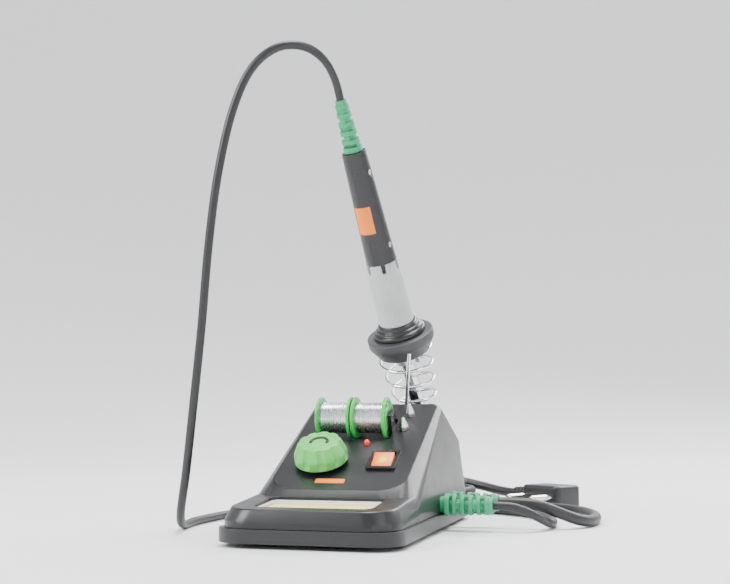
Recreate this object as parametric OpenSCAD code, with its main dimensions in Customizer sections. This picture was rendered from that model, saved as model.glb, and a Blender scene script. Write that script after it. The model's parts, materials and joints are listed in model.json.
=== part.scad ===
// Soldering iron station: a wedge-shaped base with a control panel, two spools of solder,
// a sponge tray, a spring holder, and the iron that stands in it on its own cord.
// Millimetres. X runs across the base, Y from front to back, Z up. The origin is the middle
// of the base's footprint, on the surface that it stands on.

/* [Base] */
// Width of the base
base_w = 88; // [84:1:96]
// Length of the base, front to back
base_l = 184; // [180:2:196]
// Height of the front edge
deck_z = 18; // [17:0.5:20]
// Wall of the upper housing
wall = 2.4; // [2:0.2:3]
// Height of the rubber feet
foot_h = 2; // [1.5:0.5:3]

/* [Control panel] */
// Slope of the panel
panel_tilt = 26; // [24:1:27]
// Width of the panel
panel_w = 68; // [66:1:70]
// Length of the panel, along its slope
panel_l = 94; // [92:1:96]

/* [Controls] */
// Diameter of the temperature knob
knob_d = 27; // [24:1:28]
// Height of the temperature knob
knob_h = 12.5; // [10:0.5:14]
// Width of the rocker switch's frame
switch_w = 15; // [13:1:16]
// Length of the rocker switch's frame
switch_l = 18.5; // [18:0.5:20]

/* [Solder spools] */
// Diameter of a spool's flange
spool_d = 22; // [20:1:23]
// Width of one spool
spool_w = 18.6; // [16:0.2:19]

/* [Iron] */
// Length from the tip to the flange that rests on the holder
iron_front = 84; // [82:1:85]
// Diameter of the heater barrel
barrel_d = 8.6; // [8:0.2:9]
// Diameter of the large flange
flange_d = 29; // [28:1:31]
// Length of the handle behind the grip
handle_l = 62; // [58:1:66]

/* [Spring holder] */
// Outer diameter of the holder's ring
ring_d = 37; // [36:1:39]
// Diameter of the hole in the ring
ring_hole_d = 22.6; // [22:0.2:23]
// Turns in the coil
coil_turns = 8; // [7:1:9]
// Diameter of the coil's wire
wire_d = 1.8; // [1.6:0.2:2]

/* [Cords] */
// Diameter of the mains lead
mains_d = 6; // [5:0.5:6.5]
// Diameter of the iron's lead
lead_d = 4.4; // [4:0.2:5]

/* [Hidden] */
$fn = 64;
eps = 0.01;

// Base: half sizes and corner radius of the footprint, and the height of the plinth
half_w = base_w / 2;
half_l = base_l / 2;
corner_r = 15;
plinth_z = 8.4;
seam = 0.2;

// Panel: the place of its middle, and the height of the fascia plate
panel_y = -1;
panel_z = 44;
fascia = 2;
panel_front_r = 13;
panel_back_r = 4;
bevel = 2.6;

// Places on the panel: [across, along the slope]
knob_at = [-13, -21];
switch_at = [18.5, -18.5];
light_at = [5.5, 0];
spools_at = [-5, 17];
tips_at = [[21.5, 17], [21.5, 33]];
label_at = [-4, -39];
spool_lift = 6.5;
axle_d = 4;

// Screws that join the bottom cover to the housing
post_x = 36.4;
post_y = [-78, 40];

// Sponge tray: its place on the front deck
tray_w = 56;
tray_l = 29;
tray_h = 9.4;
tray_y = -65;
tray_z = 17.6;
deck_tilt = 4;

// Holder: the middle of the ring's top face, and the way that the iron points out of it
ring_at = [13, 40, 104];
lean = 29;
turn = 14.3;
coil_l = 89;
ring_h = 9;
well = [3, 47.4, 34.5, 88.4];
well_z = 18.4;

// Cords
mains_at = [half_w, 29, 13];
lead_at = [half_w, 10, 13];
relief_l = 25;

module on_panel(at = [0, 0], lift = 0) {
    translate([0, panel_y, panel_z]) rotate([panel_tilt, 0, 0]) translate([at[0], at[1], lift])
        children();
}

module on_deck() {
    translate([0, tray_y, tray_z]) rotate([deck_tilt, 0, 0]) children();
}

// Puts the iron's and the holder's own axis, +Z towards the handle, in place
module on_holder(along = 0) {
    translate(ring_at) rotate([0, 0, -turn]) rotate([lean, 0, 0]) translate([0, 0, along])
        children();
}

// A flat plate with round corners, its middle at the origin
module rounded_plate(w, l, r, h) {
    linear_extrude(h) {
        square([w - 2 * r, l], center = true);
        square([w, l - 2 * r], center = true);
        for (x = [-1, 1], y = [-1, 1]) translate([x * (w / 2 - r), y * (l / 2 - r)]) circle(r);
    }
}

// The panel's outline: wide corners in front and tight ones behind
module panel_outline(grow = 0, h = fascia) {
    w = panel_w / 2 + grow;
    l = panel_l / 2 + grow;
    linear_extrude(h) {
        translate([-w, -l + panel_front_r]) square([2 * w, 2 * l - panel_front_r - panel_back_r]);
        translate([-w + panel_front_r, -l]) square([2 * (w - panel_front_r), panel_front_r + eps]);
        translate([-w + panel_back_r, l - panel_back_r - eps])
            square([2 * (w - panel_back_r), panel_back_r + eps]);
        for (x = [-1, 1]) {
            translate([x * (w - panel_front_r), -l + panel_front_r]) circle(panel_front_r);
            translate([x * (w - panel_back_r), l - panel_back_r]) circle(panel_back_r);
        }
    }
}

// Four round posts, for the corners of a hull
module corner_posts(w, l, r, z, h) {
    for (x = [-1, 1], y = [-1, 1])
        translate([x * (w - r), y * (l - r), z]) cylinder(r = r, h = h, $fn = 32);
}

// The low front deck, which runs under the whole housing
module deck_mass(inset) {
    low = plinth_z + seam - (inset > 0 ? 1 : 0);
    hull() {
        corner_posts(half_w - 2 - inset, half_l - 2 - inset, corner_r - inset, low, 3);
        for (x = [-1, 1], y = [-1, 1])
            translate([x * (half_w - 4 - corner_r), y * (half_l - 4 - corner_r),
                y < 0 ? deck_z - 1.5 - inset : deck_z + 10 - inset])
                rotate([deck_tilt, 0, 0]) cylinder(r = corner_r - inset, h = 1.5, $fn = 32);
    }
}

// The wedge behind the deck, which carries the panel
module wedge_mass(inset) {
    low = plinth_z + seam - (inset > 0 ? 1 : 0);
    hull() {
        on_panel([0, 0], -bevel - (inset > 0 ? inset + 1.4 : 0)) panel_corner_posts(bevel - inset);
        on_panel([0, 0], -0.6 - (inset > 0 ? inset + 1.4 : 0)) panel_corner_posts(-inset);
        for (x = [-1, 1]) {
            translate([x * (half_w - 6.5 - inset - 6), half_l - 8 - inset, 42 - inset])
                sphere(6, $fn = 32);
            translate([x * (half_w - 2 - inset - 12), half_l - 14 - inset, low])
                cylinder(r = 12, h = 6, $fn = 32);
            translate([x * (half_w - 2 - inset - 14), -44 + inset, low])
                cylinder(r = 14, h = 5, $fn = 32);
        }
    }
}

module panel_corner_posts(grow) {
    for (x = [-1, 1]) {
        translate([x * (panel_w / 2 - panel_front_r), -panel_l / 2 + panel_front_r])
            cylinder(r = panel_front_r + grow, h = 0.6, $fn = 32);
        translate([x * (panel_w / 2 - panel_back_r), panel_l / 2 - panel_back_r])
            cylinder(r = panel_back_r + grow, h = 0.6, $fn = 32);
    }
}

// The open well behind the panel, where the coil stands
module well_box(grow, bottom) {
    translate([(well[0] + well[2]) / 2, (well[1] + well[3]) / 2, bottom])
        rounded_plate(well[2] - well[0] + 2 * grow, well[3] - well[1] + 2 * grow, 5 + grow, 70);
}

// The recess under the sponge tray
module tray_pocket(grow, deep) {
    on_deck() translate([0, 0, -deep])
        rounded_plate(tray_w + 0.8 + 2 * grow, tray_l + 0.8 + 2 * grow, 4.4 + grow, deep + 8);
}

module upper_housing() {
    color("#2b2d2f") difference() {
        union() {
            difference() {
                union() {
                    deck_mass(0);
                    wedge_mass(0);
                }
                deck_mass(wall);
                wedge_mass(wall);
            }
            intersection() {
                union() {
                    well_box(1.8, well_z - 1.8);
                    tray_pocket(1.4, tray_h - 0.4);
                }
                union() {
                    deck_mass(0);
                    wedge_mass(0);
                    translate([-38, -86, 5]) cube([76, 80, plinth_z]);
                }
            }
            screw_posts(8, plinth_z + seam, 8.3);
        }
        well_box(0, well_z);
        tray_pocket(0, tray_h - 1.8);
        on_panel([0, 0], -fascia) panel_outline(0.25, 10);
        on_panel([0, 0], -fascia - 4) panel_outline(-4, 10);
        screw_posts(2.5, plinth_z, 8);
        translate(mains_at) rotate([0, 90, 0]) cylinder(d = 8.4, h = 20, center = true);
        translate(lead_at) rotate([0, 90, 0]) cylinder(d = 8.4, h = 20, center = true);
        stay_hole();
        vents();
    }
}

// Vents in the top, beside the well
module vents() {
    for (i = [0:4]) translate([-31, 53 + i * 6.2, 30]) cube([26, 2.2, 40]);
}

module screw_posts(d, z, h) {
    for (x = [-1, 1], y = post_y) translate([x * post_x, y, z]) cylinder(d = d, h = h);
}

module bottom_cover() {
    color("#1f2022") difference() {
        union() {
            difference() {
                translate([0, 0, foot_h]) rounded_plate(base_w, base_l, corner_r,
                    plinth_z - foot_h);
                translate([0, 0, foot_h + 2.2])
                    rounded_plate(base_w - 2 * 3.2, base_l - 2 * 3.2, corner_r - 3.2, 20);
            }
            screw_posts(8, foot_h, plinth_z - foot_h);
        }
        screw_posts(3.4, 0, 20);
        screw_posts(6.2, 0, foot_h + 2.4);
        foot_recesses();
        for (i = [0:5]) translate([-15 + i * 6, -30, 0]) cube([2.4, 24, 10]);
    }
}

foot_at = [[-34, -66], [34, -66], [-34, 62], [34, 62]];

module foot_recesses() {
    for (p = foot_at) translate([p[0], p[1], foot_h]) cylinder(d = 12, h = 1);
}

module rubber_feet() {
    color("#101010") for (p = foot_at) translate([p[0], p[1], 0])
        cylinder(d = 11.6, h = foot_h + 0.9);
}

module cover_screws() {
    color("silver") for (x = [-1, 1], y = post_y) translate([x * post_x, y, 0])
        difference() {
            union() {
                translate([0, 0, foot_h + 0.2]) cylinder(d = 5.6, h = 2.2);
                translate([0, 0, foot_h + 2.4]) cylinder(d = 2.4, h = 9);
            }
            translate([0, 0, foot_h]) cube([1, 3.6, 2], center = true);
            translate([0, 0, foot_h]) cube([3.6, 1, 2], center = true);
        }
}

module ballast_plate() {
    color("slategray") difference() {
        translate([-26, -42, foot_h + 2.2]) cube([48, 60, 3]);
        for (i = [0:5]) translate([-15 + i * 6, -30, 0]) cube([2.4, 24, 20]);
    }
}

module control_panel() {
    color("#232527") difference() {
        union() {
            on_panel([0, 0], -fascia) panel_outline();
            on_panel(spools_at, -7) rounded_plate(44.4, 26.4, 3, 7 - eps);
            for (p = tips_at) on_panel(p, -16) cylinder(d = 9, h = 16 - eps);
        }
        on_panel(spools_at, -5.6) rounded_plate(42, 24, 2, 20);
        on_panel(knob_at, -10) cylinder(d = 7.4, h = 20);
        on_panel(switch_at, -10) translate([-6.6, -8.2, 0]) cube([13.2, 16.4, 20]);
        on_panel(light_at, -10) cylinder(d = 3.2, h = 20);
        for (p = tips_at) on_panel(p, -14.5) cylinder(d = 5.4, h = 20);
        on_panel(label_at, -0.5) rounded_plate(15.4, 4.4, 1, 2);
    }
    color("#232527") difference() {
        for (x = [-1, 1]) on_panel([spools_at[0] + x * 20.15, spools_at[1]], -5.6)
            translate([-0.85, -4, 0]) cube([1.7, 8, 5.6 + spool_lift + 3.4]);
        on_panel(spools_at, spool_lift) rotate([0, 90, 0]) cylinder(d = axle_d, h = 60, center = true);
    }
}

module label_bar() {
    color("darkorange") on_panel(label_at, -0.5) rounded_plate(15, 4, 0.8, 0.8);
}

module indicator_light() {
    color("red") {
        on_panel(light_at, -6) cylinder(d = 3, h = 7);
        on_panel(light_at, 1) sphere(d = 3);
    }
}

module switch_frame() {
    color("#141414") difference() {
        union() {
            on_panel(switch_at, 0) rounded_plate(switch_w, switch_l, 1.4, 1.6);
            on_panel(switch_at, -15) translate([-6.4, -8, 0]) cube([12.8, 16, 15 + eps]);
        }
        on_panel(switch_at, -10) translate([-5.5, -7.3, 0]) cube([11, 14.6, 20]);
    }
    color("gold") for (y = [-4, 4]) on_panel([switch_at[0], switch_at[1] + y], -21)
        translate([-2.4, -0.4, 0]) cube([4.8, 0.8, 6]);
    color("#141414") on_panel(switch_at, -5) rotate([0, 90, 0])
        cylinder(d = 1.6, h = 11.6, center = true);
}

// The rocker is drawn level and turned to the side that it rests on
rocker_turn = 12;
module switch_rocker() {
    color("orangered") on_panel(switch_at, -5) rotate([rocker_turn, 0, 0]) difference() {
        rotate([90, 0, 90]) linear_extrude(10.2, center = true)
            polygon([[-5.4, 7.6], [0, 6.9], [5.4, 7.6], [5, 2], [2, -1.6], [-2, -1.6], [-5, 2]]);
        rotate([0, 90, 0]) cylinder(d = 1.7, h = 20, center = true);
    }
}

module circuit_board() {
    color("darkgreen") difference() {
        on_panel([0, -16], -18) translate([-30, -22, 0]) cube([40, 40, 1.6]);
        on_panel(knob_at, -30) cylinder(d = 3, h = 30);
    }
}

module capacitor() {
    color("firebrick") on_panel([-23, -33], -16.4) translate([-4, -2.5, 0]) cube([11, 5, 9]);
}

module triac() {
    color("#202020") on_panel([4, -9], -16.4) {
        translate([-5, -1, 0]) cube([10, 4.4, 4]);
        translate([-5, -1, 4]) cube([10, 4.4, 6]);
    }
}

module heat_sink() {
    color("silver") on_panel([4, -9], -16.4) {
        translate([-7, 3.4, 0]) cube([14, 1.4, 9]);
        for (x = [-6.5, -3.5, -0.5, 2.5, 5.5]) translate([x, 4.8 - eps, 0]) cube([1, 3, 9]);
    }
}

module terminal_block() {
    color("ivory") difference() {
        translate([2, 22, foot_h + 2.2]) cube([20, 14, 10]);
        for (x = [5.5, 12, 18.5]) translate([x, 29, 0]) cylinder(d = 3, h = 40);
    }
}

module potentiometer() {
    color("dimgray") {
        on_panel(knob_at, -13.6) difference() {
            cylinder(d = 16, h = 8);
            translate([0, 0, 0.6]) cylinder(d = 6.1, h = 20);
        }
        on_panel(knob_at, -5.6 - eps) difference() {
            cylinder(d = 7, h = 6.4);
            translate([0, 0, -1]) cylinder(d = 6.1, h = 20);
        }
        on_panel(knob_at, 0.01) difference() {
            cylinder(d = 10, h = 1.2, $fn = 6);
            translate([0, 0, -1]) cylinder(d = 7, h = 20);
        }
    }
}

module knob_shaft() {
    color("silver") on_panel(knob_at, -12.6) cylinder(d = 6, h = 22);
}

module temperature_knob() {
    color("limegreen") on_panel(knob_at, 1.8) difference() {
        union() {
            cylinder(d = knob_d, h = 4.6);
            translate([0, 0, 4.6]) cylinder(d1 = knob_d, d2 = knob_d - 6, h = knob_h - 4.6 - 1.8);
        }
        translate([0, 0, -1]) cylinder(d = 6, h = 8.6 + eps);
        translate([0, 0, -1]) cylinder(d = 12, h = 2.6);
        for (i = [0:9]) rotate([0, 0, i * 36])
            translate([knob_d / 2 + 3.4, 0, 0.8]) cylinder(d = 8.6, h = 30);
    }
}

module cord_clamps() {
    color("#2b2d2f") for (y = [mains_at[1], lead_at[1]])
        translate([half_w - 16, y, mains_at[2]]) difference() {
            translate([-3, -7, -8.8]) cube([6, 14, 13.8]);
            rotate([0, 90, 0]) cylinder(d = 5, h = 20, center = true);
        }
}

module spool_axle() {
    color("silver") on_panel(spools_at, spool_lift) rotate([0, 90, 0])
        cylinder(d = axle_d, h = 41.9, center = true);
}

module spool(side) {
    on_panel([spools_at[0] + side * (spool_w / 2 + 0.25), spools_at[1]], spool_lift)
        rotate([0, 90, 0]) difference() {
            union() {
                cylinder(d = 9, h = spool_w, center = true);
                for (z = [-spool_w / 2, spool_w / 2 - 1.8]) translate([0, 0, z])
                    cylinder(d = spool_d, h = 1.8);
            }
            cylinder(d = axle_d + 0.12, h = 60, center = true);
        }
}

module solder(side) {
    color("lightgray") on_panel([spools_at[0] + side * (spool_w / 2 + 0.25), spools_at[1]],
        spool_lift) rotate([0, 90, 0]) difference() {
            cylinder(d = 16.4, h = spool_w - 3.6, center = true);
            cylinder(d = 9, h = 60, center = true);
        }
}

module spool_1() { color("mediumseagreen") spool(-1); }
module spool_2() { color("mediumseagreen") spool(1); }
module solder_1() { solder(-1); }
module solder_2() { solder(1); }

module spare_tip(at) {
    color("gainsboro") on_panel(at, -14) {
        cylinder(d = 5, h = 15.6);
        translate([0, 0, 15.6]) cylinder(d1 = 5, d2 = 1.4, h = 5.2);
    }
}

module spare_tip_1() { spare_tip(tips_at[0]); }
module spare_tip_2() { spare_tip(tips_at[1]); }

// The tray has a wide bay for the sponge and a narrow trough behind it
module sponge_tray() {
    color("white") on_deck() difference() {
        translate([0, 0, -tray_h + 2.2]) rounded_plate(tray_w, tray_l, 4, tray_h - 2.2);
        translate([0, -3, -tray_h + 3.6]) rounded_plate(tray_w - 3, tray_l - 9, 2.8, tray_h);
        translate([0, 10.2, -tray_h + 3.6]) rounded_plate(tray_w - 3, 5, 2, tray_h);
    }
}

module sponge() {
    color("gold") on_deck() translate([0, -3, -tray_h + 3.7])
        rounded_plate(tray_w - 4, tray_l - 10, 2.4, 5.2);
}

// Holder: the coil is one wire swept round a narrowing helix
function ring_points(r) = [for (i = [0:7]) [r * cos(i * 45), r * sin(i * 45)]];
function coil_r(t) = 15.4 - 9.9 * t;
coil_steps = 16;
coil_n = coil_turns * coil_steps;

function coil_at(k) = let (t = k / coil_n, a = k * 360 / coil_steps)
    [coil_r(t) * cos(a), coil_r(t) * sin(a), -ring_h - wire_d / 2 - t * (coil_l - ring_h - 2)];

// A smooth curve through the points of a route, with a ring about every step millimetres
function spline_point(p, i, t) = let (a = p[max(i - 1, 0)], b = p[i], c = p[i + 1],
    d = p[min(i + 2, len(p) - 1)]) 0.5 * (2 * b + (c - a) * t + (2 * a - 5 * b + 4 * c - d) * t * t
    + (3 * b - a - 3 * c + d) * t * t * t);
function route(p, step) = concat([for (i = [0:len(p) - 2])
    let (n = max(1, round(norm(p[i + 1] - p[i]) / step))) for (k = [0:n - 1])
        spline_point(p, i, k / n)], [p[len(p) - 1]]);

// A wire or cord: rings of points square to the way that each goes, joined by faces
function unit(v) = v / norm(v);
function way(path, k) = let (m = len(path) - 1, j = min(k, m))
    unit(path[min(j + 1, m)] - path[max(j - 1, 0)]);
function square_to(v, w) = unit(v - (v * w) * w);
function sides_along(path, first) = [for (k = 0, s = square_to(first, way(path, 0));
    k < len(path); k = k + 1, s = square_to(s, way(path, k))) s];

module sweep(path, d, first = [1, 0, 0], sides = 8) {
    n = len(path);
    across = sides_along(path, first);
    points = [for (k = [0:n - 1]) let (s = across[k], v = cross(way(path, k), s))
        for (i = [0:sides - 1]) path[k] + d / 2 * (cos(i * 360 / sides) * s
            + sin(i * 360 / sides) * v)];
    faces = concat([[for (i = [0:sides - 1]) i]],
        [for (k = [0:n - 2], i = [0:sides - 1]) let (a = k * sides + i,
            b = k * sides + (i + 1) % sides) [a, a + sides, b + sides, b]],
        [[for (i = [0:sides - 1]) n * sides - 1 - i]]);
    polyhedron(points, faces, convexity = 10);
}

module holder_coil() {
    color("silver") on_holder() sweep([for (k = [0:coil_n]) coil_at(k)], wire_d);
}

module holder_ring() {
    color("#3a3c3e") on_holder(-ring_h) difference() {
        union() {
            translate([0, 0, 4]) cylinder(d = ring_d, h = ring_h - 4);
            translate([0, 0, -3]) cylinder(d1 = 28.4, d2 = ring_d, h = 7);
        }
        translate([0, 0, -5]) cylinder(d = ring_hole_d, h = 30);
    }
}

// The straight stay in front of the coil, from the ring down to the housing
stay_top = [21, 28.5, 92];
stay_low = [15, 45.4, 60];
module between(a, b, d) {
    v = b - a;
    translate(a) rotate([0, acos(v[2] / norm(v)), atan2(v[1], v[0])]) cylinder(d = d, h = norm(v));
}

module holder_stay() {
    color("silver") between(stay_low, stay_top, 2);
}

module stay_hole() {
    between(stay_low + [0, 0, -3], stay_top, 2.2);
}

module holder_foot() {
    color("#3a3c3e") difference() {
        union() {
            on_holder(-coil_l - 3) cylinder(d = 11.4, h = 4);
            translate([24, 82, well_z]) cylinder(d = 10.4, h = 5);
        }
        on_holder(-coil_l) cylinder(d = 7.4, h = 10);
    }
}

// Strain reliefs: a tapered sleeve with round slots cut from both sides
module relief(l, d1, d2, hole) {
    difference() {
        cylinder(d1 = d1, d2 = d2, h = l);
        translate([0, 0, -1]) cylinder(d = hole, h = l + 2);
        for (i = [0:4]) translate([0, 0, 4 + i * (l - 6) / 5]) rotate([0, 0, i * 90])
            for (x = [-1, 1]) translate([x * d1, 0, 0]) cube([2 * d1 - hole - 2.4, d1, 1.6],
                center = true);
    }
}

// A relief on the base has a neck through the wall and a collar that stands against it
module base_relief(at, hole) {
    translate(at) rotate([0, 90, 0]) {
        relief(relief_l, 11.4, 9.4, hole);
        difference() {
            union() {
                translate([0, 0, -5]) cylinder(d = 8.2, h = 5 + eps);
                translate([0, 0, -1.95]) cylinder(d = 9, h = 2);
            }
            translate([0, 0, -6]) cylinder(d = hole, h = 10);
        }
    }
}

module mains_relief() { color("seagreen") base_relief(mains_at, mains_d); }
module lead_relief() { color("seagreen") base_relief(lead_at, lead_d); }

// The iron's own parts, on its axis, counted from the face that rests on the ring
tip_l = 15;
module iron_tip() {
    color("goldenrod") on_holder(-iron_front) {
        cylinder(d1 = 0.8, d2 = 4.2, h = tip_l - 3);
        translate([0, 0, tip_l - 3]) cylinder(d = 4.2, h = 19);
    }
}

module tip_ferrule() {
    color("peru") on_holder(-iron_front + tip_l) difference() {
        cylinder(d1 = 6.6, d2 = barrel_d, h = 3);
        translate([0, 0, -1]) cylinder(d = 4.2, h = 10);
    }
}

module heater_barrel() {
    color("silver") on_holder(-iron_front + tip_l + 3) difference() {
        cylinder(d = barrel_d, h = iron_front - tip_l - 3 - 6);
        translate([0, 0, -1]) cylinder(d = barrel_d - 1, h = 100);
    }
}

module heating_element() {
    color("sienna") on_holder(-iron_front + tip_l + 17) cylinder(d = 5.4, h = 34);
}

module barrel_nut() {
    color("silver") on_holder(-18) difference() {
        union() {
            cylinder(d = 13, h = 5.8);
            for (x = [-1, 1]) translate([x * 7 - 1.5, -1, 0]) cube([3, 2, 3.4]);
        }
        translate([0, 0, -1]) cylinder(d = barrel_d, h = 20);
    }
}

module front_collar() {
    color("#18181a") on_holder(-12) difference() {
        cylinder(d1 = 19, d2 = 20.4, h = 12 - 0.1);
        translate([0, 0, -1]) cylinder(d = barrel_d + 0.2, h = 20);
    }
}

module heat_flange() {
    color("#141416") on_holder(0.05) {
        cylinder(d = flange_d, h = 2.6);
        translate([0, 0, 2.6]) cylinder(d1 = flange_d, d2 = 21, h = 4.4);
    }
}

module grip_sleeve() {
    color("lightgray") on_holder(grip_z) difference() {
        cylinder(d1 = 19.4, d2 = 18, h = grip_l);
        translate([0, 0, -1]) cylinder(d = 13, h = 60);
        for (i = [0:5]) rotate([0, 0, i * 60]) translate([7, -1.6, 30]) cube([10, 3.2, 10]);
    }
}

grip_z = 7.1;
grip_l = 36;
handle_z = grip_z + grip_l + 0.1;
handle_d = [16.6, 13];
screws_z = [9, 50];
label_z = 18;
label_l = 15;
function handle_r(z) = (handle_d[0] + (handle_d[1] - handle_d[0]) * z / handle_l) / 2;

module handle_half(side) {
    color("#1c1c1e") difference() {
        on_holder(grip_z) intersection() {
            union() {
                cylinder(d = 12.9, h = handle_z - grip_z);
                translate([0, 0, handle_z - grip_z])
                    cylinder(d1 = handle_d[0], d2 = handle_d[1], h = handle_l);
            }
            translate([side > 0 ? 0.02 : -40.02, -20, 0]) cube([40, 40, 200]);
        }
        label_band(2);
        on_holder(handle_z) for (z = screws_z) translate([handle_r(z) - 1.2, 0, z])
            rotate([0, 90, 0]) cylinder(d = 3.4, h = 5);
    }
}

module handle_left() {
    handle_half(-1);
}

module handle_right() {
    handle_half(1);
}

module handle_screws() {
    color("silver") on_holder(handle_z) for (z = screws_z) translate([handle_r(z) - 1.2, 0, z])
        rotate([0, 90, 0]) cylinder(d = 3.2, h = 0.9);
}

// The label lies in a shallow recess; the recess is the same band, taken further out
module label_band(out) {
    on_holder(handle_z + label_z) difference() {
        intersection() {
            cylinder(r1 = handle_r(label_z) + 0.2 + out,
                r2 = handle_r(label_z + label_l) + 0.2 + out, h = label_l);
            translate([-4.6, -20, 0]) cube([9.2, 20, label_l]);
        }
        translate([0, 0, -1]) cylinder(r1 = handle_r(label_z - 1) - 0.4,
            r2 = handle_r(label_z + label_l + 1) - 0.4, h = label_l + 2);
    }
}

module handle_label() {
    color("darkorange") label_band(0);
}

iron_end = handle_z + handle_l;
module iron_relief() {
    color("mediumseagreen") on_holder(iron_end + 0.05) relief(28, 10.4, 7, lead_d);
}

// The iron's lead: over to the left, down to the table, round the back and in at the right
iron_route = [[-3, -22.6, 220.6], [-4.3, -27.6, 229.9], [-8, -35, 238.5], [-16, -43.5, 243.5],
    [-28, -50, 242], [-40, -54, 231], [-49, -56, 210], [-56, -57, 178], [-61, -56, 142],
    [-65, -54, 102], [-70, -51, 64], [-76, -45, 31], [-83, -35, 9.8], [-88, -20, 2.4],
    [-91, 2, 2.2], [-90, 38, 2.2], [-83, 74, 2.2], [-63, 100, 2.2], [-31, 114, 2.2],
    [8, 118, 2.2], [48, 112, 2.2], [76, 93, 2.2], [91, 66, 2.2], [95.5, 44, 2.2],
    [95.2, 30, 3], [92, 19, 6], [85, 12.4, 10.4], [77, 10.2, 12.7], [69.1, 10, 13]];

// The mains lead: out to the right, down to the table and back to its coil
mains_route = [[69.1, 29, 13], [79, 29, 13], [89, 29.6, 12], [99, 32, 8.6], [108, 38, 4.8],
    [114, 48, 3.1], [116, 64, 3], [113, 86, 3], [102, 110, 3], [80, 129, 3], [52, 136, 3],
    [22, 137.6, 3], [-8, 138, 3]];
coil_mid = [-8, 174];
coil_in = 27;
coil_out = 39;
coil_high = 18;

// The tail from the top of the coil to the plug, and the plug's place
tail_route = [[-8, 210, 15], [12, 209.2, 13.6], [30, 204.6, 10.4], [44.5, 197, 7.8],
    [55.2, 189.2, 7]];
plug_at = [66, 182, 7];
plug_turn = -34;

module iron_lead() {
    color("#161618") sweep(route(iron_route, 13), lead_d);
}

module mains_lead() {
    color("#161618") {
        sweep(route(mains_route, 15), mains_d, [0, 0, 1]);
        sweep(route(tail_route, 15), mains_d, [0, 0, 1]);
    }
}

module mains_coil() {
    color("#161618") translate([coil_mid[0], coil_mid[1], 0]) rotate_extrude()
        translate([coil_in, 0]) square([coil_out - coil_in, coil_high]);
}

module cord_tie() {
    color("#303030") translate([coil_mid[0], coil_mid[1], 0]) rotate([0, 0, 200]) difference() {
        translate([coil_in - 1, -4, 0]) cube([coil_out - coil_in + 2, 8, coil_high + 1]);
        translate([coil_in, -5, -1]) cube([coil_out - coil_in, 10, coil_high + 1]);
    }
}

// A right-angled plug that lies on its side, its pins level and square to the lead
module plug_body() {
    color("#161618") translate(plug_at) rotate([0, 0, plug_turn]) {
        hull() for (x = [7, 29], y = [-9, 7]) translate([x, y, -7]) cylinder(r = 4, h = 14, $fn = 32);
        translate([-13, 0, 0]) rotate([0, 90, 0]) cylinder(d1 = 8, d2 = 10.4, h = 17);
    }
}

module plug_pins() {
    color("silver") translate(plug_at) rotate([0, 0, plug_turn]) for (x = [8.5, 27.5])
        translate([x, -13 + eps, 0]) rotate([90, 0, 0]) {
            cylinder(d = 4, h = 17);
            translate([0, 0, 17]) cylinder(d1 = 4, d2 = 2.6, h = 1.6);
        }
}

bottom_cover();
rubber_feet();
cover_screws();
ballast_plate();
upper_housing();
control_panel();
label_bar();
indicator_light();
switch_frame();
circuit_board();
capacitor();
triac();
heat_sink();
terminal_block();
potentiometer();
cord_clamps();
spool_axle();
holder_foot();
holder_coil();
holder_ring();
holder_stay();
mains_relief();
lead_relief();
knob_shaft();
temperature_knob();
switch_rocker();
spool_1();
solder_1();
spool_2();
solder_2();
spare_tip_1();
spare_tip_2();
sponge_tray();
sponge();
iron_tip();
tip_ferrule();
heater_barrel();
heating_element();
barrel_nut();
front_collar();
heat_flange();
grip_sleeve();
handle_left();
handle_right();
handle_screws();
handle_label();
iron_relief();
iron_lead();
mains_lead();
mains_coil();
cord_tie();
plug_body();
plug_pins();
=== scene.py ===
# Looks of the soldering iron station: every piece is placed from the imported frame.
import json
import math

import bmesh
import bpy
from mathutils import Matrix, Vector, noise


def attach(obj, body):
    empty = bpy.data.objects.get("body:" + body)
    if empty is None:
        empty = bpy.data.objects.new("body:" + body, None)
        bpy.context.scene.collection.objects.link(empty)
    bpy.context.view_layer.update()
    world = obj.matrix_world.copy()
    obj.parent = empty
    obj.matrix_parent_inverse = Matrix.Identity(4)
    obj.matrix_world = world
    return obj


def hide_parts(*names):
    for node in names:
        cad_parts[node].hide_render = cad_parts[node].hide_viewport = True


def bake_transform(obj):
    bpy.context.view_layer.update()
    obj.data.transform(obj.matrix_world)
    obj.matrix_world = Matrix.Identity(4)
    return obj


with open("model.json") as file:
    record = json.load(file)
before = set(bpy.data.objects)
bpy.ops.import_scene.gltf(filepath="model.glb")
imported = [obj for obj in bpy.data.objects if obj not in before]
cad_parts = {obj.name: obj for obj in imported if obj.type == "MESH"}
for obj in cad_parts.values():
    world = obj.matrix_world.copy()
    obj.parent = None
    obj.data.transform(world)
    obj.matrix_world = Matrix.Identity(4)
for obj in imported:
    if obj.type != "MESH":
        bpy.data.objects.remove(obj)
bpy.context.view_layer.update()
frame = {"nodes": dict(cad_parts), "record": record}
NODES = frame["nodes"]

# ---------------------------------------------------------------- places, in millimetres
MM = Matrix.Scale(0.001, 4)


def turn(degrees, axis):
    return Matrix.Rotation(math.radians(degrees), 4, axis)


def shift(x, y, z):
    return Matrix.Translation((x, y, z))


def place(at, *turns):
    """A matrix from a piece's own millimetres to the row frame's metres."""
    m = shift(*at)
    for degrees, axis in turns:
        m = m @ turn(degrees, axis)
    return MM @ m


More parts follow.
